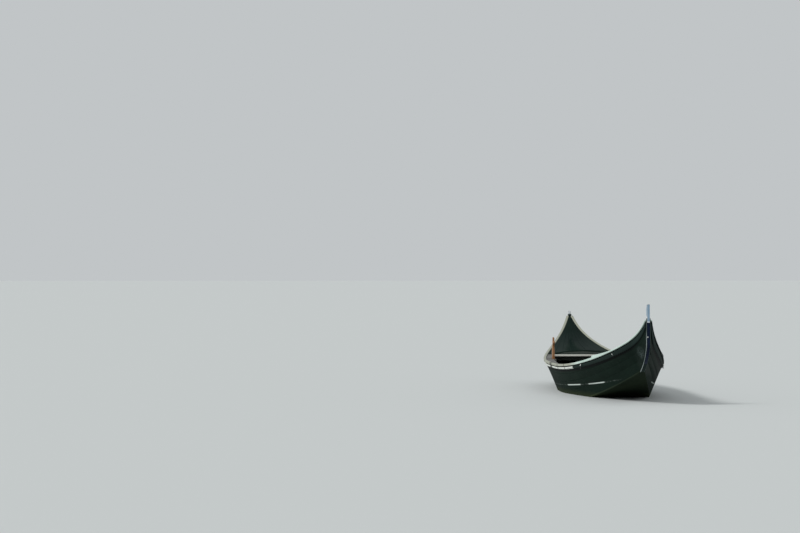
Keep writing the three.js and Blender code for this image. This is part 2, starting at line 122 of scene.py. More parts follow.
def bottomHalf(x):
    share = clamp(abs(x) / hull["footX"]) ** endLines(x)["chine"]
    return hull["stemHalf"] + (hull["bottomHalf"] - hull["stemHalf"]) * (1 - share)


def bottomHeight(x):
    share = clamp(abs(x) / hull["footX"]) ** hull["rocker"]
    return -hull["draft"] + (hull["footHeight"] + hull["draft"]) * share


def stemPoint(step, inset, end):
    # the stem's curve from its foot to where it turns upright, moved inwards by inset
    setback = hull["half"] - hull["footX"]
    rise = hull["stemTurn"] - hull["footHeight"]
    bend = 2 * step * (1 - step)
    x = hull["footX"] + setback * (hull["kneeAlong"] * bend + step ** 2)
    z = hull["footHeight"] + rise * (hull["kneeUp"] * bend + step ** 2)
    slopeX = setback * (hull["kneeAlong"] * 2 * (1 - 2 * step) + 2 * step)
    slopeZ = rise * (hull["kneeUp"] * 2 * (1 - 2 * step) + 2 * step)
    size = math.hypot(slopeX, slopeZ)
    return Vector((end * (x - inset * slopeZ / size), 0, z + inset * slopeX / size))


def strakeLow(x):
    # how far the strake's lower edge lies below the sheer
    return strake["low"] + strake["lowerAtEnds"] * (x / hull["half"]) ** 2


def strakeMiddle(x):
    return (strakeLow(x) + strake["top"]) / 2


def sideLine(x):
    # the lower and upper edges of the port side at a station
    if abs(x) > hull["footX"]:
        step = (abs(x) - hull["footX"]) / (sideTip - hull["footX"])
        low = stemPoint(step, sideInset, 1 if x > 0 else -1)
        low.y = hull["stemHalf"]
    else:
        low = Vector((x, bottomHalf(x), bottomHeight(x) + sideInset))
    return low, Vector((x, sheerHalf(x), sheerHeight(x)))


def sidePoint(x, side, drop, out):
    # a point off the outer face, given by its drop below the sheer
    low, high = sideLine(x)
    point = high.lerp(low, drop / (high.z - low.z))
    return Vector((point.x, side * (point.y + out), point.z))


def sideFrame(x, side, drop, out):
    # axes on the outer face: X along the hull, Z outwards
    place = sidePoint(x, side, drop, out)
    along = (sidePoint(x + 0.01, side, drop, out) - place).normalized()
    down = sidePoint(x, side, drop + 0.01, out) - place
    normal = along.cross(down).normalized()
    if normal.y * side < 0:
        normal.negate()
    return Matrix.Translation(place) @ Matrix((along, normal.cross(along), normal)).transposed().to_4x4()


def facing(place, normal):
    return Matrix.Translation(place) @ Vector(normal).to_track_quat("Z", "X").to_matrix().to_4x4()


def spread(low, high, count):
    return [low + (high - low) * i / (count - 1) for i in range(count)]


def newMaterial(name):
    material = bpy.data.materials.new(name)
    material.use_nodes = True
    tree = material.node_tree
    tree.nodes.clear()
    output = tree.nodes.new("ShaderNodeOutputMaterial")
    shader = tree.nodes.new("ShaderNodeBsdfPrincipled")
    tree.links.new(shader.outputs[0], output.inputs[0])
    return material, tree, shader


def plug(tree, socket, value):
    if isinstance(value, bpy.types.NodeSocket):
        tree.links.new(value, socket)
    else:
        socket.default_value = (*value, 1) if socket.type == "RGBA" else value


def addNode(tree, kind, inputs=None, **settings):
    made = tree.nodes.new("ShaderNode" + kind)
    for name, value in settings.items():
        setattr(made, name, value)
    for key, value in (inputs or {}).items():
        plug(tree, made.inputs[key], value)
    return made


def objectCoords(tree, scale=(1, 1, 1), move=(0, 0, 0)):
    coords = addNode(tree, "TexCoord").outputs["Object"]
    return addNode(tree, "Mapping", {"Vector": coords, "Scale": scale, "Location": move}).outputs[0]


def noiseAt(tree, vector, scale, detail=4.0, rough=0.55):
    inputs = {"Vector": vector, "Scale": scale, "Detail": detail, "Roughness": rough}
    return addNode(tree, "TexNoise", inputs).outputs["Fac"]


def ramp(tree, value, low, high, outLow=0.0, outHigh=1.0):
    inputs = {"Value": value, "From Min": low, "From Max": high, "To Min": outLow, "To Max": outHigh}
    return addNode(tree, "MapRange", inputs).outputs["Result"]


def blendColour(tree, factor, first, second):
    made = addNode(tree, "Mix", data_type="RGBA")
    for index, value in ((0, factor), (6, first), (7, second)):
        plug(tree, made.inputs[index], value)
    return made.outputs[2]


def sumUp(tree, operation, first, second=0.0):
    made = addNode(tree, "Math", operation=operation)
    plug(tree, made.inputs[0], first)
    plug(tree, made.inputs[1], second)
    return made.outputs[0]


def times(tree, first, second):
    return sumUp(tree, "MULTIPLY", first, second)


def between(tree, value, low, high, soft):
    rising = ramp(tree, value, low - soft, low + soft)
    return times(tree, rising, ramp(tree, value, high + soft, high - soft))


def bumpOn(tree, shader, height, distance, strength=1.0):
    inputs = {"Height": height, "Distance": distance, "Strength": strength}
    tree.links.new(addNode(tree, "Bump", inputs).outputs[0], shader.inputs["Normal"])


def finishShader(tree, shader, colour, rough):
    tree.links.new(colour, shader.inputs["Base Color"])
    tree.links.new(rough, shader.inputs["Roughness"])


paleLine = {
    "half": 0.0125, "core": 0.006, "lengths": ((0.95, 1.85, 0.04), (2.35, 3.2, 0.05)), "foreEnd": (4.1, 3.6),
    "onPort": 0.5, "colour": (0.62, 0.68, 0.64),
}
reflectionPatch = {"centre": (5.1, -0.1, 0.86), "size": (0.2, 0.16, 0.11), "colour": (0.16, 0.2, 0.2)}


def glossPaint(name, look):
    # dark boat paint: slow fading, fine streaks along the planks, scuffs and a grimy waterline; a lined hull
    # also gets a pale line with painted glints, a painted shadow under the strake and a painted reflection
    # on the starboard bow
    material, tree, shader = newMaterial(name)
    broad = noiseAt(tree, objectCoords(tree, (0.35, 1, 1.2)), 1.4, 3)
    streaks = noiseAt(tree, objectCoords(tree, (1.2, 8, 22)), 3.0, 6, 0.65)
    specks = noiseAt(tree, objectCoords(tree, (2.5, 4, 9)), 5.5, 8, 0.7)
    scuffs = ramp(tree, specks, 0.6, 0.72)
    colour = blendColour(tree, ramp(tree, broad, 0.35, 0.65), look["dark"], look["light"])
    colour = blendColour(tree, times(tree, ramp(tree, streaks, 0.5, 0.75), 0.5), colour, look["streak"])
    colour = blendColour(tree, times(tree, scuffs, look["scuff"]), colour, look["worn"])
    place = addNode(tree, "SeparateXYZ", {"Vector": objectCoords(tree)})
    if look["grime"]:
        ragged = sumUp(tree, "SUBTRACT", place.outputs["Z"], times(tree, streaks, 0.12))
        grime = times(tree, ramp(tree, ragged, 0.05, -0.05), look["grime"])
        colour = blendColour(tree, grime, colour, (0.035, 0.045, 0.02))
    if look.get("lined"):
        # a pale line follows the side: faint paint along it, two bright lengths that are painted glints, and
        # half as strong on port
        across = addNode(tree, "UVMap", uv_map="lineMap").outputs[0]
        rise = addNode(tree, "SeparateXYZ", {"Vector": across}).outputs["Y"]
        near = ramp(tree, sumUp(tree, "ABSOLUTE", rise), paleLine["half"], paleLine["core"])
        along = sumUp(tree, "ADD", place.outputs["X"], times(tree, broad, 0.3))
        lengths = sumUp(tree, "ADD", *(between(tree, along, *length) for length in paleLine["lengths"]))
        fading = ramp(tree, along, *paleLine["foreEnd"])
        faint = times(tree, ramp(tree, specks, 0.45, 0.65, 0.0, 0.16), fading)
        shown = times(tree, near, sumUp(tree, "MAXIMUM", lengths, faint))
        shown = times(tree, shown, ramp(tree, place.outputs["Y"], -0.1, 0.1, 1.0, paleLine["onPort"]))
        colour = blendColour(tree, shown, colour, paleLine["colour"])
        # painted shadow: the planking turns nearly black just under the strake's lower edge
        across = addNode(tree, "UVMap", uv_map="dropMap").outputs[0]
        drop = addNode(tree, "SeparateXYZ", {"Vector": across}).outputs["Y"]
        shadowUnderStrake = ramp(tree, drop, 0.05, 0.025, 0, 0.9)
        colour = blendColour(tree, shadowUnderStrake, colour, (0.001, 0.002, 0.002))
        # a paler mottled patch on the starboard bow: painted reflection of rippling water on the gloss
        sizes = reflectionPatch["size"]
        scale = [1 / size for size in sizes]
        move = [-at / size for at, size in zip(reflectionPatch["centre"], sizes)]
        offset = objectCoords(tree, scale, move)
        far = addNode(tree, "VectorMath", {0: offset}, operation="LENGTH").outputs["Value"]
        paintedSheen = times(tree, ramp(tree, far, 1.1, 0.4), ramp(tree, specks, 0.42, 0.62))
        colour = blendColour(tree, times(tree, paintedSheen, 0.3), colour, reflectionPatch["colour"])
    if "unworn" in look:
        # the pale edge is partly wear and partly a painted highlight; high up and on port, away from the
        # sun, it stays dark as painted shade
        high = ramp(tree, place.outputs["Z"], 1.0, 1.25, 0.0, 0.8)
        unlitShare = sumUp(tree, "MAXIMUM", high, ramp(tree, place.outputs["Y"], -0.01, 0.01, 0.0, 0.85))
        colour = blendColour(tree, unlitShare, colour, look["unworn"])
    rough = ramp(tree, broad, 0.3, 0.7, look["rough"], look["rough"] + 0.12)
    finishShader(tree, shader, colour, sumUp(tree, "ADD", rough, times(tree, scuffs, 0.25)))
    shader.inputs["Specular IOR Level"].default_value = look["specular"]
    shader.inputs["Coat Weight"].default_value = look["coat"]
    shader.inputs["Coat Roughness"].default_value = look["rough"] * 0.6
    waves = noiseAt(tree, objectCoords(tree, (1, 2, 3)), 2.2, 2)
    bumpOn(tree, shader, sumUp(tree, "ADD", waves, times(tree, streaks, 0.06)), 0.01, 0.45)
    tree.links.new(shader.inputs["Normal"].links[0].from_socket, shader.inputs["Coat Normal"])
    return material


def palePaint(name, look):
    # pale paint over wood: brushed grain, dirt, and chips down to grey wood
    material, tree, shader = newMaterial(name)
    grain = noiseAt(tree, objectCoords(tree, look["along"]), 4.0, 6, 0.6)
    blotch = noiseAt(tree, objectCoords(tree), 2.6, 5)
    chips = ramp(tree, noiseAt(tree, objectCoords(tree, (4, 12, 12)), 6.0, 8, 0.75), 0.62, 0.67)
    colour = blendColour(tree, ramp(tree, blotch, 0.35, 0.7), look["light"], look["dark"])
    if "aged" in look:
        # yellowed aft of the bow
        x = addNode(tree, "SeparateXYZ", {"Vector": objectCoords(tree)}).outputs["X"]
        colour = blendColour(tree, ramp(tree, x, 2.1, 1.5, 0, 0.85), colour, look["aged"])
    colour = blendColour(tree, times(tree, ramp(tree, grain, 0.45, 0.8), 0.45), colour, look["dirt"])
    colour = blendColour(tree, times(tree, chips, look["chips"]), colour, look["under"])
    for at, half in look.get("stains", ()):
        # the paint is darker in a ragged band round a joint
        x = addNode(tree, "SeparateXYZ", {"Vector": objectCoords(tree)}).outputs["X"]
        ragged = sumUp(tree, "ADD", x, times(tree, grain, half * 0.5))
        soaked = between(tree, ragged, at - half * 0.75, at + half * 1.25, half * 0.3)
        colour = blendColour(tree, times(tree, soaked, 0.9), colour, (0.035, 0.036, 0.022))
    finishShader(tree, shader, colour, ramp(tree, blotch, 0.3, 0.7, look["rough"], look["rough"] + 0.2))
    shader.inputs["Specular IOR Level"].default_value = 0.4
    height = sumUp(tree, "SUBTRACT", times(tree, grain, 0.4), times(tree, chips, 0.6))
    bumpOn(tree, shader, height, 0.002, 0.6)
    return material


def woodGrain(name, look):
    # bare or oiled wood, with its grain along the mapping's stretched axis
    material, tree, shader = newMaterial(name)
    warp = noiseAt(tree, objectCoords(tree, look["along"]), look["scale"], 8, 0.6)
    rings = addNode(tree, "TexWave", {
        "Vector": objectCoords(tree, look["along"]), "Scale": look["rings"], "Distortion": 9.0,
        "Detail": 3.0, "Detail Scale": 1.4,
    }, bands_direction="Y").outputs["Fac"]
    wear = ramp(tree, noiseAt(tree, objectCoords(tree), 2.4, 6), 0.45, 0.65)
    colour = blendColour(tree, ramp(tree, warp, 0.35, 0.7), look["light"], look["dark"])
    colour = blendColour(tree, times(tree, rings, 0.45), colour, look["deep"])
    colour = blendColour(tree, times(tree, wear, look["wear"]), colour, look["worn"])
    if "tint" in look:
        # each board has its own shade
        shade = addNode(tree, "Attribute", attribute_name="boardShade").outputs["Fac"]
        colour = blendColour(tree, times(tree, shade, 0.75), colour, look["tint"])
    finishShader(tree, shader, colour, ramp(tree, warp, 0.3, 0.7, look["rough"], look["rough"] + 0.15))
    bumpOn(tree, shader, sumUp(tree, "ADD", warp, times(tree, rings, 0.5)), 0.0015, look["bump"])
    return material


def metalSurface(name, look):
    # metal or painted metal: fine rubbing marks, dull patches and worn spots
    material, tree, shader = newMaterial(name)
    rub = noiseAt(tree, objectCoords(tree, (8, 8, 90)), 3.0, 5, 0.6)
    patch = noiseAt(tree, objectCoords(tree), 9.0, 5)
    spots = ramp(tree, noiseAt(tree, objectCoords(tree), 38.0, 5, 0.7), 0.62, 0.7)
    colour = blendColour(tree, ramp(tree, patch, 0.3, 0.7), look["light"], look["dark"])
    colour = blendColour(tree, times(tree, spots, look["spots"]), colour, look["spot"])
    rough = ramp(tree, patch, 0.3, 0.7, look["rough"], look["rough"] + 0.12)
    if "lip" in look:
        # a painted highlight along the lip at the foot
        z = addNode(tree, "SeparateXYZ", {"Vector": objectCoords(tree)}).outputs["Z"]
        paintedSheen = ramp(tree, z, look["lip"] + 0.012, look["lip"], 0.0, 0.75)
        colour = blendColour(tree, paintedSheen, colour, (0.75, 0.78, 0.8))
    finishShader(tree, shader, colour, sumUp(tree, "ADD", rough, times(tree, rub, 0.1)))
    shader.inputs["Metallic"].default_value = look["metal"]
    shader.inputs["Specular IOR Level"].default_value = look.get("specular", 0.5)
    bumpOn(tree, shader, rub, 0.0006, 0.35)
    return material


darkPaint = {
    "dark": (0.003, 0.009, 0.006), "light": (0.006, 0.015, 0.010), "streak": (0.010, 0.021, 0.015),
    "worn": (0.06, 0.08, 0.075), "scuff": 0.14, "grime": 0.0, "rough": 0.2, "specular": 0.0, "coat": 0.07,
}
# Each dark band's middle along the hull, and how far it reaches
darkBandsAtJoints = ((-1.9, 0.03), (-0.55, 0.16), (0.42, 0.035), (1.05, 0.02))
materials = {
    "hull": glossPaint("hullPaint", {**darkPaint, "grime": 0.7, "lined": True}),
    "darkTrim": glossPaint("darkTrimPaint", {
        **darkPaint, "dark": (0.011, 0.020, 0.018), "light": (0.019, 0.032, 0.028), "scuff": 0.3}),
    # pale band edges: worn paint and a painted highlight, dark high up and on port as painted shade
    "wornEdgeAndHighlight": glossPaint("wornEdgeAndHighlightPaint", {
        **darkPaint, "dark": (0.2, 0.23, 0.23), "light": (0.5, 0.54, 0.53), "scuff": 0.5,
        "unworn": (0.03, 0.045, 0.04)}),
    "deck": glossPaint("deckPaint", {
        **darkPaint, "dark": (0.007, 0.014, 0.012), "light": (0.013, 0.023, 0.019), "scuff": 0.3}),
    "bottom": glossPaint("bottomPaint", {
        **darkPaint, "dark": (0.008, 0.014, 0.009), "light": (0.018, 0.026, 0.016), "grime": 0.9,
        "rough": 0.5, "scuff": 0.5, "coat": 0.03}),
    "rail": palePaint("railPaint", {
        "light": (0.6, 0.73, 0.66), "dark": (0.46, 0.58, 0.51), "dirt": (0.24, 0.28, 0.24),
        "under": (0.12, 0.11, 0.09), "chips": 0.7, "rough": 0.36, "along": (1.5, 30, 30),
        "aged": (0.32, 0.305, 0.23), "stains": darkBandsAtJoints}),
    "board": palePaint("boardPaint", {
        "light": (0.74, 0.74, 0.68), "dark": (0.56, 0.56, 0.5), "dirt": (0.3, 0.29, 0.24),
        "under": (0.14, 0.12, 0.09), "chips": 0.8, "rough": 0.4, "along": (30, 1.5, 30)}),
    "sideBoard": palePaint("sideDeckPaint", {
        "light": (0.16, 0.155, 0.145), "dark": (0.09, 0.088, 0.08), "dirt": (0.05, 0.048, 0.042),
        "under": (0.3, 0.29, 0.25), "chips": 0.6, "rough": 0.5, "along": (1.5, 30, 30)}),
    "strake": palePaint("strakePaint", {
        "light": (0.86, 0.88, 0.83), "dark": (0.7, 0.73, 0.67), "dirt": (0.4, 0.4, 0.34),
        "under": (0.1, 0.1, 0.085), "chips": 0.8, "rough": 0.42, "along": (1.5, 30, 30),
        "stains": darkBandsAtJoints}),
    "inner": palePaint("innerPaint", {
        "light": (0.04, 0.055, 0.046), "dark": (0.024, 0.033, 0.029), "dirt": (0.075, 0.07, 0.055),
        "under": (0.15, 0.115, 0.075), "chips": 0.55, "rough": 0.5, "along": (1.5, 20, 20)}),
    "floor": woodGrain("floorWood", {
        "light": (0.16, 0.13, 0.098), "dark": (0.095, 0.078, 0.057), "deep": (0.055, 0.045, 0.034),
        "worn": (0.24, 0.215, 0.175), "wear": 0.5, "along": (0.6, 9, 9), "scale": 3.0, "rings": 1.2,
        "rough": 0.55, "bump": 0.8, "tint": (0.085, 0.072, 0.056)}),
    "walnut": woodGrain("oiledWalnut", {
        "light": (0.40, 0.19, 0.07), "dark": (0.23, 0.1, 0.036), "deep": (0.09, 0.038, 0.016),
        "worn": (0.5, 0.27, 0.115), "wear": 0.35, "along": (9, 9, 0.8), "scale": 4.0, "rings": 1.6,
        "rough": 0.24, "bump": 0.4}),
    # the steel's blue tint is a painted reflection of the sky
    "iron": metalSurface("steelWithPaintedSkyBlue", {
        "light": (0.30, 0.43, 0.55), "dark": (0.22, 0.33, 0.44), "spot": (0.14, 0.12, 0.1),
        "spots": 0.3, "metal": 0.45, "rough": 0.3, "lip": 1.375}),
    "band": metalSurface("strapPaint", {
        "light": (0.007, 0.014, 0.036), "dark": (0.004, 0.008, 0.02), "spot": (0.05, 0.06, 0.07),
        "spots": 0.4, "metal": 0.0, "rough": 0.24, "specular": 0.06}),
    "fitting": metalSurface("dullFitting", {
        "light": (0.68, 0.69, 0.66), "dark": (0.42, 0.43, 0.41), "spot": (0.14, 0.08, 0.04),
        "spots": 0.5, "metal": 0.4, "rough": 0.36}),
    "blackIron": metalSurface("blackIron", {
        "light": (0.03, 0.032, 0.03), "dark": (0.014, 0.015, 0.015), "spot": (0.1, 0.05, 0.025),
        "spots": 0.6, "metal": 0.3, "rough": 0.45}),
}
print("materials made:", len(materials))


def finishPiece(bm, name, look, replaced=(), sharp=35, bevel=0.0, segments=2, inside=None, edges=None,
                shadedOutside=None):
    bmesh.ops.recalc_face_normals(bm, faces=bm.faces)
    if shadedOutside:
        # faces that look outboard or down take another paint, here painted shade
        for face in bm.faces:
            middle = face.calc_center_median().y
            if face.normal.y * middle > 0.5 * abs(middle) or face.normal.z < -0.5:
                face.material_index = 1
    if inside:
        # faces that look inboard take another paint
        for face in bm.faces:
            middle = face.calc_center_median().y
            if face.normal.y * middle < -0.2 * abs(middle):
                face.material_index = 1
    mesh = bpy.data.meshes.new(name)
    bm.to_mesh(mesh)
    bm.free()
    mesh.shade_smooth()
    mesh.set_sharp_from_angle(angle=math.radians(sharp))
    mesh.materials.append(materials[look])
    if inside or edges or shadedOutside:
        mesh.materials.append(materials[inside or edges or shadedOutside])
    piece = bpy.data.objects.new(name, mesh)
    bpy.context.scene.collection.objects.link(piece)
    if bevel:
        edge = piece.modifiers.new("edge", "BEVEL")
        edge.width, edge.segments, edge.limit_method = bevel, segments, "ANGLE"
        edge.angle_limit = math.radians(40)
        edge.harden_normals = True
        if edges:
            edge.material = 1
    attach(piece, boatBody)
    if replaced:
        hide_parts(*replaced)
    return piece


def sweptBar(bm, rings, lineHeight=None):
    # a closed bar from a grid: every row of the grid is laid round one ring of points
    columns, rows = len(rings[0]), len(rings)
    grid = bmesh.ops.create_grid(bm, x_segments=columns, y_segments=rows - 1, size=1)["verts"]
    for vert in grid:
        column = round((vert.co.x + 1) / 2 * columns)
        row = round((vert.co.y + 1) / 2 * (rows - 1))
        vert.co = rings[row][column % columns]
    if lineHeight:
        above, below = (bm.loops.layers.uv.new(layer) for layer in ("lineMap", "dropMap"))
        for face in bm.faces:
            for loop in face.loops:
                x, z = loop.vert.co.x, loop.vert.co.z
                loop[above].uv = (x, z - lineHeight(x))
                loop[below].uv = (x, sheerHeight(x) - strakeLow(x) - z)
    bmesh.ops.remove_doubles(bm, verts=grid, dist=1e-6)
    bmesh.ops.holes_fill(bm, edges=[edge for edge in bm.edges if edge.is_boundary], sides=0)


def softCopy(name, node, look, bevel, sharp=35, segments=2, edges=None, carve=0):
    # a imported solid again, with its flat faces rejoined and its edges eased
    bm = bmesh.new()
    bm.from_mesh(frame["nodes"][node].data)
    bmesh.ops.remove_doubles(bm, verts=bm.verts, dist=2e-5)
    bmesh.ops.dissolve_limit(bm, angle_limit=math.radians(1), verts=bm.verts, edges=bm.edges)
    if carve:
        # thinner towards the head
        low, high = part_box(node)
        middle = (low[1] + high[1]) / 2
        for vert in bm.verts:
            share = clamp((vert.co.z - low[2]) / (high[2] - low[2]))
            vert.co.y = middle + (vert.co.y - middle) * (1 - carve * share ** 1.5)
    return finishPiece(bm, name, look, (node,), sharp, bevel, segments, edges=edges)


def addStud(bm, at, radius, height, segments=10):
    size = Matrix.Diagonal((radius, radius, height, 1))
    bmesh.ops.create_uvsphere(bm, u_segments=segments, v_segments=6, radius=1, matrix=at @ size)


sideNames = (("starboard", -1), ("port", 1))

# Side planking: one skin on each side, with its plank seams cut in
planks = {
    "rows": 260, "seams": (0.3, 0.55, 0.78), "seamHalf": 0.0035, "seamDepth": 0.003,
    "lineLow": 0.125, "lineRise": 0.33, "lineFrom": -2.4, "lineRun": 6.9, "linePower": 2.6,
}


def lineHeight(x):
    # the pale line runs just above the waterline aft and rises with the chine at the bow
    share = clamp((x - planks["lineFrom"]) / planks["lineRun"])
    return planks["lineLow"] + planks["lineRise"] * share ** planks["linePower"]


def plankRing(x, side):
    low, high = sideLine(x)
    half = planks["seamHalf"] / math.hypot(high.y - low.y, high.z - low.z)
    across = [(0, 0)]
    for seam in planks["seams"]:
        across += [(seam - half, 0), (seam, planks["seamDepth"]), (seam + half, 0)]
    across.append((1, 0))
    ring = []
    for level, sunk in across:
        point = low.lerp(high, level)
        ring.append(Vector((point.x, side * (point.y - sunk), point.z)))
    for edge in (high, low):
        ring.append(Vector((edge.x, side * (edge.y - hull["skin"]), edge.z)))
    return ring


for name, side in sideNames:
    bm = bmesh.new()
    sweptBar(bm, [plankRing(x, side) for x in spread(-sideTip, sideTip, planks["rows"])], lineHeight)
    replaced = [f"side_planking_{name}_{part}" for part in ("aft", "middle", "fore")]
    finishPiece(bm, f"planking_{name}", "hull", replaced, 30, inside="inner")
print("side planking made")

# Bottom planking, in cross boards
bottomLook = {"boards": 66, "seam": 0.004, "depth": 0.0025}


def bottomRing(x, sunk):
    half, low = bottomHalf(x), bottomHeight(x)
    ring = [Vector((x, half * share, low + sunk)) for share in spread(-1, 1, 5)]
    return ring + [Vector((x, half, low + hull["bottom"])), Vector((x, -half, low + hull["bottom"]))]


bottomRings = []
edges = spread(-hull["footX"], hull["footX"], bottomLook["boards"] + 1)
for start, stop in zip(edges, edges[1:]):
    gap = bottomLook["seam"] / 2
    bottomRings += [bottomRing(start, bottomLook["depth"]), bottomRing(start + gap, 0)]
    bottomRings += [bottomRing(start + (stop - start) * share, 0) for share in (0.35, 0.65)]
    bottomRings.append(bottomRing(stop - gap, 0))
bottomRings.append(bottomRing(edges[-1], bottomLook["depth"]))
bm = bmesh.new()
sweptBar(bm, bottomRings)
replaced = [f"bottom_planking_{part}" for part in ("aft", "middle", "fore")]
finishPiece(bm, "bottomBoards", "bottom", replaced, 30)
print("bottom planking made")

# Gunwale caps and the strakes below them, with open scarf joints
caps = {
    "thickness": 0.04, "thin": 0.022, "bowSwell": 0.05, "bowRun": 1.0, "sternSwell": 0.018,
    "bevel": 0.007, "step": 0.05, "joint": 0.006, "scarfs": (-1.9, -0.5, 0.42, 1.05),
}


def capThickness(x):
    if x > hull["bowJoint"]:
        return caps["thin"] + caps["bowSwell"] * clamp(1 - (x - hull["bowJoint"]) / caps["bowRun"])
    if x < hull["sternJoint"]:
        share = clamp((x + hull["half"]) / (hull["half"] + hull["sternJoint"]))
        return caps["thin"] + caps["sternSwell"] * share
    return caps["thickness"]


def capRing(x, side):
    low = sheerHeight(x) + clear
    high = sheerHeight(x) + capThickness(x)
    outer = side * (sheerHalf(x) + hull["overhang"])
    inner = side * max(clear, sheerHalf(x) - hull["inset"])
    return [Vector((x, y, z)) for y, z in ((outer, low), (outer, high), (inner, high), (inner, low))]


def strakeRing(x, side):
    low, top, bevel, face = strakeLow(x), strake["top"], strake["bevel"], strake["face"]
    edges = ((low, clear), (top, clear), (top + bevel, face), (low - bevel, face))
    return [sidePoint(x, side, drop, out) for drop, out in edges]


def addRun(bm, ring, side, start, stop):
    # lengths of one rail, with a gap at each scarf
    cuts = [start, *[x for x in caps["scarfs"] if start + 0.05 < x < stop - 0.05], stop]
    for low, high in zip(cuts, cuts[1:]):
        first = low + (caps["joint"] if low != start else 0)
        last = high - (caps["joint"] if high != stop else 0)
        count = max(3, int((last - first) / caps["step"]))
        sweptBar(bm, [ring(x, side) for x in spread(first, last, count)])


capRuns = (
    ("aft", -sideTip, hull["sternJoint"] - 0.001),
    ("middle", hull["sternJoint"] + 0.001, hull["bowJoint"] - 0.001),
    ("fore", hull["bowJoint"] + 0.001, sideTip),
)
strakeRuns = (
    ("aft", -sideTip, -hull["plankJoint"] - 0.001),
    ("middle", -hull["plankJoint"] + 0.001, hull["plankJoint"] - 0.001),
    ("fore", hull["plankJoint"] + 0.001, sideTip),
)
for name, side in sideNames:
    for part, start, stop in capRuns:
        bm = bmesh.new()
        addRun(bm, capRing, side, start, stop)
        # on port the caps' outboard faces and undersides take dark paint, a painted shade for the side away
        # from the sun
        shadedOutside = "darkTrim" if side > 0 else None
        replaced = [f"gunwale_cap_{name}_{part}"]
        finishPiece(bm, f"cap_{name}_{part}", "rail", replaced, 35, caps["bevel"], 3, shadedOutside=shadedOutside)
    for part, start, stop in strakeRuns:
        bm = bmesh.new()
        addRun(bm, strakeRing, side, start, stop)
        look = "darkTrim" if part == "fore" else "strake"
        finishPiece(bm, f"strake_{name}_{part}", look, [f"rub_strake_{name}_{part}"], 50, strake["edge"])
print("caps and strakes made")

# Decks: cambered, with seams between their boards
deck = {"camber": 0.13, "thickness": 0.018, "boards": 9, "groove": 0.003, "edge": 0.01, "setback": 0.06}


def deckRing(x):
    half, base = sheerHalf(x) - hull["inset"] - clear, sheerHeight(x)
    groove = min(deck["groove"], half * 0.02)
    across = []
    for board in range(deck["boards"]):
        left, right = (-1 + 2 * (board + i) / deck["boards"] for i in (0, 1))
        across += [(left, groove), (left + deck["edge"], 0), (right - deck["edge"], 0)]
    ring = []
    for share, sunk in (*across, (1, groove)):
        camber = deck["camber"] * half * (1 - share ** 2)
        ring.append(Vector((x, half * share, base + camber + deck["thickness"] - sunk)))
    for share in (1, 0.5, 0, -0.5, -1):
        camber = deck["camber"] * half * (1 - share ** 2)
        ring.append(Vector((x, half * share, base + clear + camber * 0.98)))
    return ring


for name, end, inner in (("bow", 1, hull["bowJoint"]), ("stern", -1, -hull["sternJoint"])):
    bm = bmesh.new()
    sweptBar(bm, [deckRing(end * x) for x in spread(inner, hull["half"] - deck["setback"], 80)])
    finishPiece(bm, f"{name}DeckBoards", "deck", [f"{name}_deck"], 25)
print("decks made")

# Stem and stern: bands over the post, painted straps, the end irons and their bolts
ends = {
    "strapHalf": 0.022, "strapThickness": 0.006, "strapStart": 0.4, "strapBevel": 0.0022,
    "bandBevel": 0.008, "ironBevel": 0.003, "bolt": 0.011, "boltHeight": 0.005, "lowBolts": (0.5, 0.72),
    "pinHeight": 0.009, "pinZ": 1.125, "pinOff": 0.011,
}


def stemRings(end, outset, inset, half, top, steps, foot):
    pairs = []
    if foot:
        start = end * (hull["footX"] + clear)
        pairs.append([Vector((start, 0, hull["footHeight"] + deep)) for deep in (outset, inset)])
    pairs += [[stemPoint(step, deep, end) for deep in (outset, inset)] for step in steps]
    for z in spread(hull["stemTurn"] + 0.05, top, 12):
        pairs.append([Vector((end * (hull["half"] - deep), 0, z)) for deep in (outset, inset)])
    rings = []
    for out, inside in pairs:
        corners = ((out, -half), (out, half), (inside, half), (inside, -half))
        rings.append([Vector((point.x, y, point.z)) for point, y in corners])
    return rings


for name, post, end, lip, boltHeights in (
    ("bow", "stem", 1, 0.072, (1.03, 1.2, 1.32)),
    ("stern", "stern", -1, 0.06, (1.02, 1.18)),
):
    top = sheerHeight(end * hull["half"]) + 0.022
    face = ends["strapThickness"]
    bm = bmesh.new()
    sweptBar(bm, stemRings(end, 0, hull["bottom"], hull["stemHalf"], top, spread(0.04, 1, 25), True))
    # the band's eased edges take the pale edge paint: wear and a painted highlight
    finishPiece(bm, f"{post}Band", "darkTrim", [f"{post}_band"], 40, ends["bandBevel"], 3, edges="wornEdgeAndHighlight")
    bm = bmesh.new()
    steps = spread(ends["strapStart"], 1, 16)
    sweptBar(bm, stemRings(end, -face, -clear, ends["strapHalf"], top - lip - clear, steps, False))
    finishPiece(bm, f"{post}Strap", "band", [f"{post}_strap"], 40, ends["strapBevel"], 2)
    # the iron's eased edges take the pale fitting metal: worn bright edges and a painted highlight
    softCopy(f"{name}Iron", f"{name}_iron", "iron", ends["ironBevel"], 30, 3, edges="fitting")
    bm = bmesh.new()
    for z in boltHeights:
        place = (end * (hull["half"] + face), 0, z)
        addStud(bm, facing(place, (end, 0, 0)), ends["bolt"], ends["boltHeight"])
    for step in ends["lowBolts"]:
        point = stemPoint(step, -face, end)
        addStud(bm, facing(point, point - stemPoint(step, 0, end)), ends["bolt"], ends["boltHeight"])
    finishPiece(bm, f"{name}Bolts", "band", (), 60)
    bm = bmesh.new()
    place = (end * (hull["half"] + face), -end * ends["pinOff"], ends["pinZ"])
    addStud(bm, facing(place, (end, 0, 0)), ends["bolt"], ends["pinHeight"])
    finishPiece(bm, f"{name}Pin", "fitting", (), 60)
print("stem and stern made")

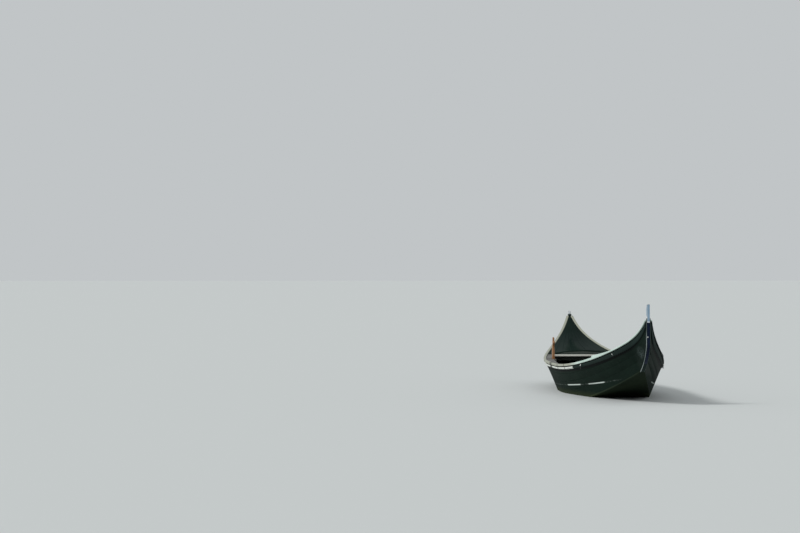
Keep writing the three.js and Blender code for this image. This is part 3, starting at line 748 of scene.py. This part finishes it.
# Boards that keep their solids' shape, with eased edges; the oar rest is carved thinner at its head
for node, look, bevel, carve in (
    ("bow_thwart", "board", 0.006, 0), ("stern_thwart", "board", 0.006, 0),
    ("side_deck_port", "sideBoard", 0.004, 0), ("side_deck_starboard", "sideBoard", 0.004, 0),
    ("bow_deck_end_board", "inner", 0.003, 0), ("stern_deck_end_board", "inner", 0.003, 0),
    ("bow_oar_rest_block", "walnut", 0.006, 0), ("stern_oar_rest", "walnut", 0.007, 0.4),
):
    first, *rest = node.split("_")
    softCopy(first + "".join(word.capitalize() for word in rest), node, look, bevel, 30, 3, carve=carve)

# Solids that keep their own shape and take a finish
for name, node in frame["nodes"].items():
    if name.startswith(("side_frames", "floor_timbers")) or name in ("stem_post", "stern_post"):
        node.data.materials.clear()
        node.data.materials.append(materials["inner"])
print("thwarts, frames and boards made")

# Floorboards: every panel is cut into boards, each with its own shade
floorLook = {"boards": 9, "gap": 0.006}
for part in ("fore", "middle", "aft"):
    low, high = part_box(f"floorboards_{part}")
    bm = bmesh.new()
    bm.from_mesh(frame["nodes"][f"floorboards_{part}"].data)
    bmesh.ops.remove_doubles(bm, verts=bm.verts, dist=2e-5)
    width = (high[1] - low[1]) / floorLook["boards"]
    half = floorLook["gap"] / 2
    for board in range(1, floorLook["boards"]):
        y = low[1] + board * width
        for cutY in (y - half, y + half):
            bmesh.ops.bisect_plane(bm, geom=bm.verts[:] + bm.edges[:] + bm.faces[:], dist=1e-6,
                                   plane_co=(0, cutY, 0), plane_no=(0, 1, 0))
        inGap = [face for face in bm.faces if abs(face.calc_center_median().y - y) < half - 1e-5]
        bmesh.ops.delete(bm, geom=inGap, context="FACES")
    bmesh.ops.holes_fill(bm, edges=[edge for edge in bm.edges if edge.is_boundary], sides=0)
    shade = bm.faces.layers.float.new("boardShade")
    for face in bm.faces:
        board = int((face.calc_center_median().y - low[1]) / width)
        face[shade] = (math.sin(board * 12.9898 + low[0] * 3) * 43758.5453) % 1
    finishPiece(bm, f"floorPanel_{part}", "floor", [f"floorboards_{part}"], 30)
print("floorboards made")

# Painted nails along the strakes, and nails in the caps over the frames
studs = {
    "radius": 0.007, "height": 0.0025, "spacing": 0.42, "first": 0.1,
    "capRadius": 0.006, "capHeight": 0.0016, "fromSheer": 0.006,
}
for name, side in sideNames:
    for part, look, count in (("aft", "strake", range(-12, 4)), ("fore", "darkTrim", range(4, 13))):
        bm = bmesh.new()
        for i in count:
            x = i * studs["spacing"] + studs["first"]
            at = sideFrame(x, side, strakeMiddle(x), strake["face"])
            addStud(bm, at, studs["radius"], studs["height"], 8)
        finishPiece(bm, f"strakeNails_{name}_{part}", look, (), 60)
    bm = bmesh.new()
    for i in range(-24, 24):
        x = (i + 0.5) * studs["spacing"] / 2
        slope = (sheerHeight(x + 0.01) - sheerHeight(x - 0.01)) / 0.02
        place = (x, side * (sheerHalf(x) - studs["fromSheer"]), sheerHeight(x) + capThickness(x))
        addStud(bm, facing(place, (-slope, 0, 1)), studs["capRadius"], studs["capHeight"], 8)
    finishPiece(bm, f"capNails_{name}", "rail", (), 60)

# A mooring ring under its pale boss on both sides of the bow, and a second boss on starboard
mooring = {
    "x": 2.25, "drop": 0.032, "boss": 0.016, "bossHeight": 0.012, "eye": 0.008, "eyeHeight": 0.014,
    "ring": 0.03, "wire": 0.004, "secondX": 3.95, "secondHeight": 0.009,
}
for name, side in sideNames:
    at = sideFrame(mooring["x"], side, mooring["drop"], strake["face"])
    bm = bmesh.new()
    addStud(bm, at, mooring["boss"], mooring["bossHeight"], 16)
    raised = at @ Matrix.Translation((0, 0, mooring["bossHeight"] / 2))
    addStud(bm, raised, mooring["eye"], mooring["eyeHeight"], 12)
    if side < 0:
        x = mooring["secondX"]
        at = sideFrame(x, side, strakeMiddle(x), strake["face"])
        addStud(bm, at, mooring["boss"], mooring["secondHeight"], 16)
    finishPiece(bm, f"bosses_{name}", "fitting", (), 60)
    bm = bmesh.new()
    start = Matrix.Translation((mooring["ring"], 0, 0)) @ Matrix.Rotation(math.pi / 2, 4, "X")
    circle = bmesh.ops.create_circle(bm, segments=8, radius=mooring["wire"], matrix=start)["verts"]
    bmesh.ops.spin(bm, geom=circle + bm.edges[:], cent=(0, 0, 0), axis=(0, 0, 1), angle=2 * math.pi,
                   steps=32, use_merge=True)
    out = strake["face"] + mooring["eyeHeight"]
    hung = sidePoint(mooring["x"], side, mooring["drop"] + mooring["ring"], out)
    lie = Matrix.Translation(hung) @ Matrix.Rotation(math.pi / 2, 4, "X")
    bmesh.ops.transform(bm, matrix=lie, verts=bm.verts)
    finishPiece(bm, f"mooringRing_{name}", "blackIron", (), 60)
print("fittings made")

# The floor lies at the waterline, open where the hull sits in it
floorPlan = {"reach": 400.0, "underHull": 0.006, "colour": (0.6, 0.62, 0.61), "rough": 0.9}
wetEnd = hull["footX"] * (hull["draft"] / (hull["footHeight"] + hull["draft"])) ** (1 / hull["rocker"])
reach = floorPlan["reach"]
bm = bmesh.new()
for side in (-1, 1):
    outline = [(-reach, 0), (-wetEnd, 0)]
    for x in spread(-wetEnd, wetEnd, 61):
        low, high = sideLine(x)
        floorHalf = low.y + (high.y - low.y) * clamp(-low.z / (high.z - low.z))
        outline.append((x, side * (floorHalf - floorPlan["underHull"])))
    outline += [(wetEnd, 0), (reach, 0), (reach, side * reach), (-reach, side * reach)]
    bm.faces.new([bm.verts.new((x, y, 0)) for x, y in outline])
bmesh.ops.remove_doubles(bm, verts=bm.verts, dist=1e-5)
for face in bm.faces:
    face.normal_update()
    if face.normal.z < 0:
        face.normal_flip()
bmesh.ops.triangulate(bm, faces=bm.faces)
mesh = bpy.data.meshes.new("floorPlane")
bm.to_mesh(mesh)
bm.free()
material, tree, shader = newMaterial("floorPaper")
shader.inputs["Base Color"].default_value = (*floorPlan["colour"], 1)
shader.inputs["Roughness"].default_value = floorPlan["rough"]
mesh.materials.append(material)
floor = bpy.data.objects.new("floorPlane", mesh)
bpy.context.scene.collection.objects.link(floor)
floor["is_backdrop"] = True

# A pale studio with one broad sun from the left of the picture
light = {
    "world": (0.86, 0.9, 0.92), "worldStrength": 0.62,
    "sun": 1.9, "spread": 14, "from": (0.32, -0.72, 0.62),
}
world = bpy.data.worlds.new("studio")
bpy.context.scene.world = world
world.use_nodes = True
background = world.node_tree.nodes["Background"]
background.inputs["Color"].default_value = (*light["world"], 1)
background.inputs["Strength"].default_value = light["worldStrength"]
lamp = bpy.data.lights.new("sun", "SUN")
lamp.energy, lamp.angle = light["sun"], math.radians(light["spread"])
sun = bpy.data.objects.new("sun", lamp)
sun.rotation_euler = (-Vector(light["from"])).to_track_quat("-Z", "Y").to_euler()
bpy.context.scene.collection.objects.link(sun)

# The photo's viewpoint: nearly end-on to the bow, 2.3 m above the waterline, looking level
shot = {
    "place": (53.90, -7.03, 2.291), "aim": (-0.998, 0.0614, 0),
    "lens": 135, "sensor": 36, "shiftY": -0.00125, "farClip": 600,
}
cameraData = bpy.data.cameras.new("camera")
cameraData.lens = shot["lens"]
cameraData.sensor_width = shot["sensor"]
cameraData.shift_y = shot["shiftY"]
cameraData.clip_end = shot["farClip"]
camera = bpy.data.objects.new("camera", cameraData)
camera.location = shot["place"]
camera.rotation_euler = Vector(shot["aim"]).to_track_quat("-Z", "Y").to_euler()
bpy.context.scene.collection.objects.link(camera)
bpy.context.scene.camera = camera
bpy.context.scene.view_settings.view_transform = "Standard"

low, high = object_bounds()
print("stage set")
